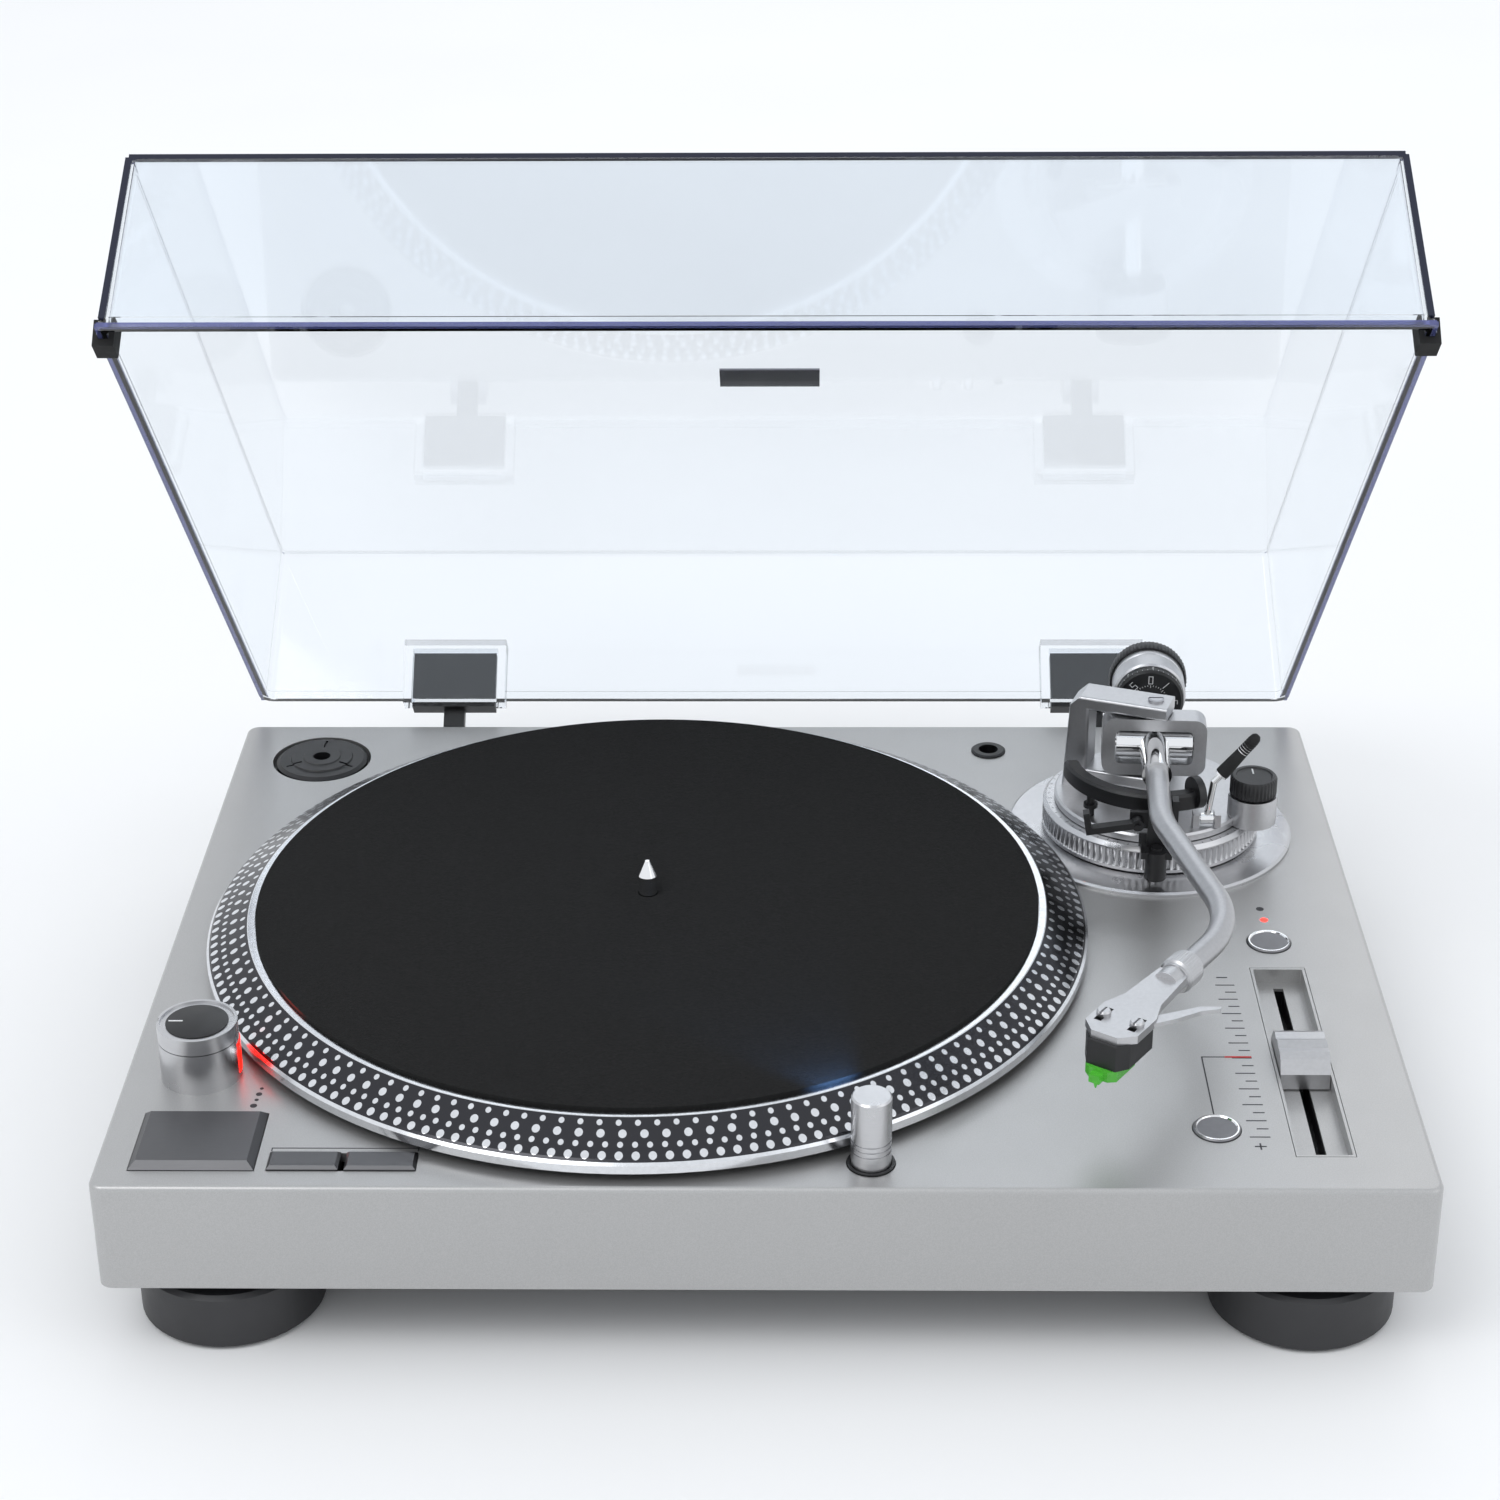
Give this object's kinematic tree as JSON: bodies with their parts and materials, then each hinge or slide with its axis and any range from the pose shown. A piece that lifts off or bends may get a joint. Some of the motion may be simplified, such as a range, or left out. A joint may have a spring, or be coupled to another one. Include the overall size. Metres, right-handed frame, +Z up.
{
  "type": "direct-drive turntable record player",
  "caption": "Low silver turntable with a felt-covered platter, S-shaped tonearm, sliding speed control and hinged clear dust cover propped open.",
  "frame": {"origin": "on the table, under the middle of the whole player with its cover open", "axes": "+X to the player's right, +Y to its back, +Z up along the spindle"},
  "size_m": [0.452, 0.411, 0.3669],
  "materials": {
    "silver_paint": "satin metallic",
    "dark_plastic": "matte",
    "grey_plastic": "fine texture",
    "black_button": "brushed look",
    "grey_button": "satin",
    "rubber": "matte",
    "felt": "felt",
    "platter_alloy": "turned and polished",
    "silver_alloy": "satin",
    "chrome": "mirror",
    "steel": "brushed",
    "copper": "enamelled wire",
    "magnet": "sintered",
    "circuit_board": "solder resist",
    "clear_acrylic": "clear",
    "red_lens": "clear red",
    "badge_grey": "satin",
    "green_plastic": "clear green",
    "weight_black": "knurled"
  },
  "bodies": {
    "plinth": {"top_case": "silver_paint", "bottom_cover": "dark_plastic", "case_screws": "steel", "foot_cups": "grey_plastic", "foot_felts": "felt", "foot_necks": "rubber", "spindle_bearing": "steel", "motor_board": "circuit_board", "stator_core": "steel", "motor_coils": "copper", "strobe_tower": "silver_alloy", "strobe_lens": "red_lens", "panel_switches": "dark_plastic", "slider_tray": "silver_paint", "slider_potentiometer": "dark_plastic", "lamp_sleeve": "dark_plastic", "headshell_socket": "dark_plastic", "arm_base_disc": "silver_alloy", "rear_panel": "dark_plastic", "rca_sockets": "chrome", "mains_inlet": "dark_plastic", "transformer": "steel", "main_board": "circuit_board", "hinge_brackets": "steel"},
    "turning_platter": {"platter": "platter_alloy", "slip_mat": "felt", "spindle": "chrome", "magnet_ring": "magnet"},
    "power_knob": {"power_knob": "silver_alloy"},
    "start_stop_button": {"start_stop_button": "black_button"},
    "speed_33_button": {"speed_33_button": "black_button"},
    "speed_45_button": {"speed_45_button": "black_button"},
    "tempo_button": {"tempo_button": "grey_button"},
    "quartz_button": {"quartz_button": "grey_button"},
    "slider_knob": {"slider_knob": "silver_alloy"},
    "target_light": {"target_light": "silver_alloy"},
    "adapter_45": {"adapter_45": "dark_plastic"},
    "height_ring": {"height_ring": "silver_alloy"},
    "arm_deck": {"arm_deck": "silver_alloy", "arm_rest": "dark_plastic", "yoke": "silver_alloy", "yoke_screws": "steel"},
    "anti_skate_knob": {"anti_skate_knob": "dark_plastic"},
    "arm_clip": {"arm_clip": "dark_plastic"},
    "lift_bar": {"lift_bar": "dark_plastic"},
    "cue_lever": {"cue_lever": "chrome"},
    "gimbal_ring": {"gimbal_ring": "silver_alloy"},
    "arm": {"arm_barrel": "chrome", "arm_tube": "silver_alloy", "headshell_nut": "silver_alloy", "headshell": "silver_alloy", "cartridge": "dark_plastic", "stylus": "green_plastic"},
    "force_dial": {"force_dial": "dark_plastic"},
    "counterweight": {"counterweight": "silver_alloy"},
    "dust_cover": {"lid": "clear_acrylic", "lid_badge": "badge_grey", "lid_bumpers": "rubber", "hinge_leaves": "dark_plastic"},
    "preamp_switch": {"preamp_switch": "dark_plastic"}
  },
  "joints": [
    {"name": "platter_spin", "type": "hinge", "parent": "plinth", "child": "turning_platter", "pos_m": [-0.0455, -0.036, 0.0685], "axis": [0, 0, 1], "continuous": true},
    {"name": "power_switch", "type": "hinge", "parent": "plinth", "child": "power_knob", "pos_m": [-0.199, -0.1355, 0.0865], "axis": [0, 0, 1], "range_deg": [0, 40]},
    {"name": "start_stop_press", "type": "slide", "parent": "plinth", "child": "start_stop_button", "axis": [0, 0, -1], "range_m": [0, 0.0012], "stiffness_N_per_m": 400, "springref_m": -0.002},
    {"name": "speed_33_press", "type": "slide", "parent": "plinth", "child": "speed_33_button", "axis": [0, 0, -1], "range_m": [0, 0.0012], "stiffness_N_per_m": 400, "springref_m": -0.002},
    {"name": "speed_45_press", "type": "slide", "parent": "plinth", "child": "speed_45_button", "axis": [0, 0, -1], "range_m": [0, 0.0012], "stiffness_N_per_m": 400, "springref_m": -0.002},
    {"name": "tempo_press", "type": "slide", "parent": "plinth", "child": "tempo_button", "axis": [0, 0, -1], "range_m": [0, 0.0012], "stiffness_N_per_m": 400, "springref_m": -0.002},
    {"name": "quartz_press", "type": "slide", "parent": "plinth", "child": "quartz_button", "axis": [0, 0, -1], "range_m": [0, 0.0012], "stiffness_N_per_m": 400, "springref_m": -0.002},
    {"name": "pitch_slide", "type": "slide", "parent": "plinth", "child": "slider_knob", "axis": [0, 1, 0], "range_m": [-0.045, 0.045]},
    {"name": "target_light_pop", "type": "slide", "parent": "plinth", "child": "target_light", "axis": [0, 0, 1], "range_m": [-0.025, 0], "stiffness_N_per_m": 60, "springref_m": 0.012},
    {"name": "adapter_lift_out", "type": "slide", "parent": "plinth", "child": "adapter_45", "axis": [0, 0, 1], "range_m": [0, 0.015]},
    {"name": "arm_height", "type": "slide", "parent": "plinth", "child": "arm_deck", "axis": [0, 0, 1], "range_m": [0, 0.006]},
    {"name": "height_ring_turn", "type": "hinge", "parent": "plinth", "child": "height_ring", "pos_m": [0.1525, 0.0473, 0.0685], "axis": [0, 0, 1], "range_deg": [0, 121]},
    {"name": "anti_skate_turn", "type": "hinge", "parent": "arm_deck", "child": "anti_skate_knob", "pos_m": [0.19027, 0.02847, 0.0985], "axis": [0, 0, 1], "range_deg": [0, 270]},
    {"name": "arm_swing", "type": "hinge", "parent": "arm_deck", "child": "gimbal_ring", "pos_m": [0.1525, 0.0473, 0.1075], "axis": [0, 0, -1], "range_deg": [0, 42.5]},
    {"name": "arm_lift", "type": "hinge", "parent": "gimbal_ring", "child": "arm", "pos_m": [0.1525, 0.0473, 0.1075], "axis": [-0.9984, 0.0558, 0], "range_deg": [-1.2, 10]},
    {"name": "force_dial_turn", "type": "hinge", "parent": "arm", "child": "force_dial", "pos_m": [0.15468, 0.08624, 0.1075], "axis": [0.0558, 0.9984, 0], "range_deg": [-180, 180]},
    {"name": "counterweight_turn", "type": "hinge", "parent": "arm", "child": "counterweight", "pos_m": [0.15529, 0.09722, 0.1075], "axis": [0.0558, 0.9984, 0], "range_deg": [-180, 180]},
    {"name": "arm_clip_close", "type": "hinge", "parent": "arm_deck", "child": "arm_clip", "pos_m": [0.14244, 0.00179, 0.0954], "axis": [0.0558, 0.9984, 0], "range_deg": [0, 100]},
    {"name": "cue_lever_turn", "type": "hinge", "parent": "arm_deck", "child": "cue_lever", "pos_m": [0.1711, 0.0179, 0.089], "axis": [-1, 0, 0], "range_deg": [0, 40]},
    {"name": "lift_bar_rise", "type": "slide", "parent": "arm_deck", "child": "lift_bar", "axis": [0, 0, 1], "range_m": [0, 0.00085]},
    {"name": "dust_cover_open", "type": "hinge", "parent": "plinth", "child": "dust_cover", "pos_m": [0, 0.1489, 0.051], "axis": [-1, 0, 0], "range_deg": [-47, 0]},
    {"name": "preamp_switch_slide", "type": "slide", "parent": "plinth", "child": "preamp_switch", "axis": [1, 0, 0], "range_m": [0, 0.004]}
  ],
  "couplings": [
    {"joint": "height_ring_turn", "follows": "arm_height", "rad_per_m": 349.07},
    {"joint": "lift_bar_rise", "follows": "cue_lever_turn", "m_per_rad": 0.0011459}
  ]
}
